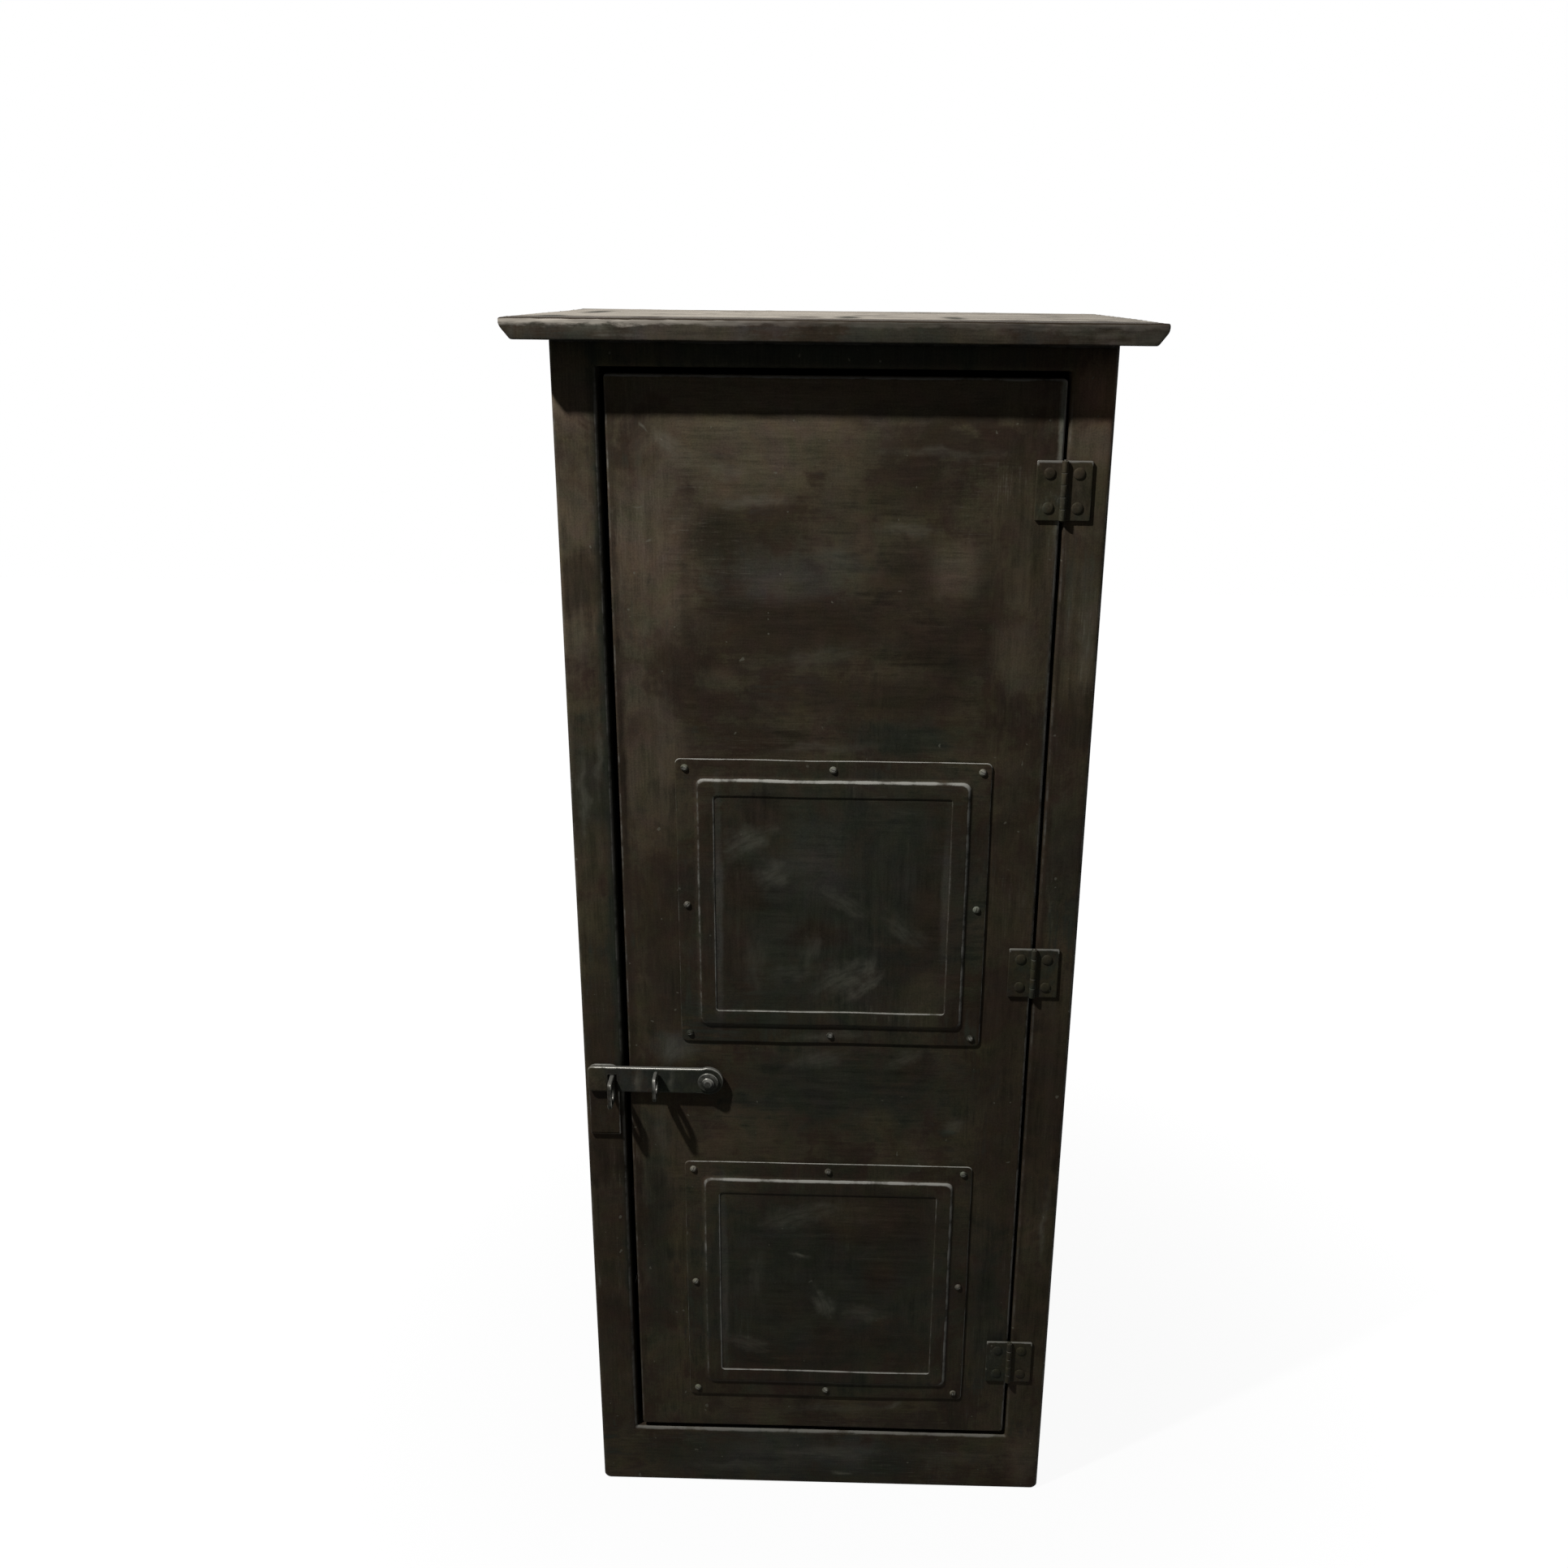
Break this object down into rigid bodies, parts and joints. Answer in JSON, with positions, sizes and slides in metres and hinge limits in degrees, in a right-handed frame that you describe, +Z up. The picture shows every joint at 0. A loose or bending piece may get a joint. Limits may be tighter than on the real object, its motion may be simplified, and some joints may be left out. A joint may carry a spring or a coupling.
{
  "type": "metal cabinet",
  "caption": "Tall narrow sheet-metal cabinet with an overhanging moulded top board, an inset hinged door with pressed square plates, and a swinging latch bar over a padlock lug.",
  "frame": {"origin": "on the floor, below the middle of the top board", "axes": "+Z up, -Y out of the door's front, +X to the viewer's right towards the hinges"},
  "size_m": [0.684, 0.492, 1.5403],
  "materials": {
    "carcass_paint": "worn dark brown-black paint, satin, brushed and scratched to bare steel at the edges",
    "inside_paint": "dark matt paint",
    "door_paint": "worn dark brown-black paint, satin, with pale brush streaks and scuffs",
    "plate_paint": "dark grey-black paint, satin, worn pale along the pressed edges",
    "hinge_iron": "painted over, worn at the edges",
    "latch_iron": "worn dark iron, satin, bright at the edges",
    "screw_steel": "dull, painted over, worn on the crown",
    "shelf_board": "dark stained plank, dry and worn",
    "board": "worn dark paint over a pale bare board"
  },
  "bodies": {
    "cabinet": {"back_panel": "carcass_paint", "bottom_rail": "carcass_paint", "floor_panel": "inside_paint", "keeper_plate": "latch_iron", "left_side_panel": "carcass_paint", "left_stile": "carcass_paint", "lower_frame_leaf": "hinge_iron", "lower_frame_rivet_bottom": "hinge_iron", "lower_frame_rivet_top": "hinge_iron", "lower_hinge_pin": "hinge_iron", "lower_shelf": "shelf_board", "middle_frame_leaf": "hinge_iron", "middle_frame_rivet_bottom": "hinge_iron", "middle_frame_rivet_top": "hinge_iron", "middle_hinge_pin": "hinge_iron", "middle_shelf": "shelf_board", "padlock_lug": "latch_iron", "right_side_panel": "carcass_paint", "right_stile": "carcass_paint", "top_board": "board", "top_rail": "carcass_paint", "upper_frame_leaf": "hinge_iron", "upper_frame_rivet_bottom": "hinge_iron", "upper_frame_rivet_top": "hinge_iron", "upper_hinge_pin": "hinge_iron", "upper_shelf": "shelf_board"},
    "door": {"door_liner": "inside_paint", "door_panel": "door_paint", "lower_door_leaf": "hinge_iron", "lower_door_rivet_bottom": "hinge_iron", "lower_door_rivet_top": "hinge_iron", "lower_plate": "plate_paint", "lower_plate_screw_1": "screw_steel", "lower_plate_screw_2": "screw_steel", "lower_plate_screw_3": "screw_steel", "lower_plate_screw_4": "screw_steel", "lower_plate_screw_5": "screw_steel", "lower_plate_screw_6": "screw_steel", "lower_plate_screw_7": "screw_steel", "lower_plate_screw_8": "screw_steel", "middle_door_leaf": "hinge_iron", "middle_door_rivet_bottom": "hinge_iron", "middle_door_rivet_top": "hinge_iron", "pivot_bolt": "latch_iron", "pivot_spacer": "latch_iron", "pivot_washer": "latch_iron", "upper_door_leaf": "hinge_iron", "upper_door_rivet_bottom": "hinge_iron", "upper_door_rivet_top": "hinge_iron", "upper_plate": "plate_paint", "upper_plate_screw_1": "screw_steel", "upper_plate_screw_2": "screw_steel", "upper_plate_screw_3": "screw_steel", "upper_plate_screw_4": "screw_steel", "upper_plate_screw_5": "screw_steel", "upper_plate_screw_6": "screw_steel", "upper_plate_screw_7": "screw_steel", "upper_plate_screw_8": "screw_steel"},
    "latch": {"finger_tab": "latch_iron", "latch_bar": "latch_iron"}
  },
  "joints": [
    {"name": "door_hinge", "type": "hinge", "parent": "cabinet", "child": "door", "pos_m": [0.2497, -0.2079, 0.792], "axis": [0, 0, 1], "range_deg": [0, 150]},
    {"name": "latch_pivot", "type": "hinge", "parent": "door", "child": "latch", "pos_m": [-0.1445, -0.2126, 0.6375], "axis": [0, 1, 0], "range_deg": [0, 40]}
  ]
}
